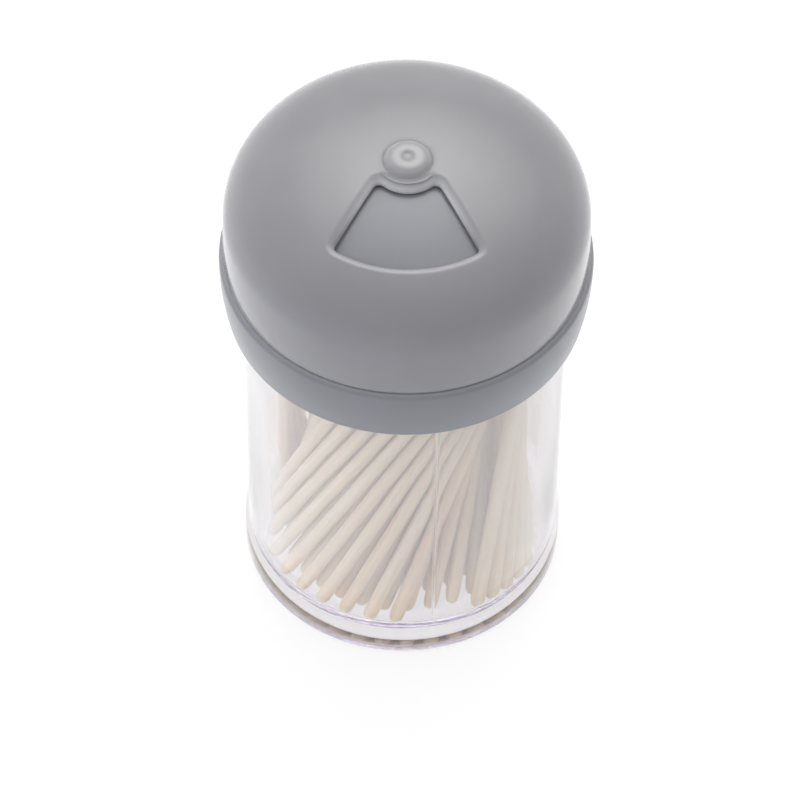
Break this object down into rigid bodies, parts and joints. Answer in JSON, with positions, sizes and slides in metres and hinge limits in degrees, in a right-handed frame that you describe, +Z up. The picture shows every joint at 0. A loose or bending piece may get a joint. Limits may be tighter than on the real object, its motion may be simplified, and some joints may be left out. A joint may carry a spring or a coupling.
{
  "type": "toothpick dispenser",
  "caption": "Clear round jar of wooden toothpicks with a grey press-on lid and a domed cover that turns to bring its wedge window over the lid's hole.",
  "frame": {"origin": "on the jar's axis, at the level of the foot it stands on", "axes": "+Z up along the jar's axis; the cover's window faces -Y and the lid's own hole +Y; +X is to the right seen from the window side"},
  "size_m": [0.0508, 0.0508, 0.0818],
  "materials": {
    "clear_plastic": "clear, polished",
    "lid_plastic": "smooth, satin gloss",
    "cover_plastic": "smooth, satin gloss",
    "birch_wood": "bare, sanded"
  },
  "bodies": {
    "jar_body": {"jar": "clear_plastic", "toothpick_01": "birch_wood", "toothpick_02": "birch_wood", "toothpick_03": "birch_wood", "toothpick_04": "birch_wood", "toothpick_05": "birch_wood", "toothpick_06": "birch_wood", "toothpick_07": "birch_wood", "toothpick_08": "birch_wood", "toothpick_09": "birch_wood", "toothpick_10": "birch_wood", "toothpick_11": "birch_wood", "toothpick_12": "birch_wood", "toothpick_13": "birch_wood", "toothpick_14": "birch_wood", "toothpick_15": "birch_wood", "toothpick_16": "birch_wood", "toothpick_17": "birch_wood", "toothpick_18": "birch_wood", "toothpick_19": "birch_wood", "toothpick_20": "birch_wood", "toothpick_21": "birch_wood", "toothpick_22": "birch_wood", "toothpick_23": "birch_wood", "toothpick_24": "birch_wood", "toothpick_25": "birch_wood", "toothpick_26": "birch_wood", "toothpick_27": "birch_wood", "toothpick_28": "birch_wood", "toothpick_29": "birch_wood", "toothpick_30": "birch_wood", "toothpicks_core": "birch_wood", "toothpicks_layer_2": "birch_wood", "toothpicks_layer_3": "birch_wood", "toothpicks_layer_4": "birch_wood"},
    "lid_body": {"inner_lid": "lid_plastic"},
    "cover_body": {"dome_cover": "cover_plastic"}
  },
  "joints": [
    {"name": "lid_lift", "type": "slide", "parent": "jar_body", "child": "lid_body", "axis": [0, 0, 1], "range_m": [0, 0.03]},
    {"name": "cover_turn", "type": "hinge", "parent": "lid_body", "child": "cover_body", "pos_m": [0, 0, 0.078], "axis": [0, 0, 1], "continuous": true}
  ]
}
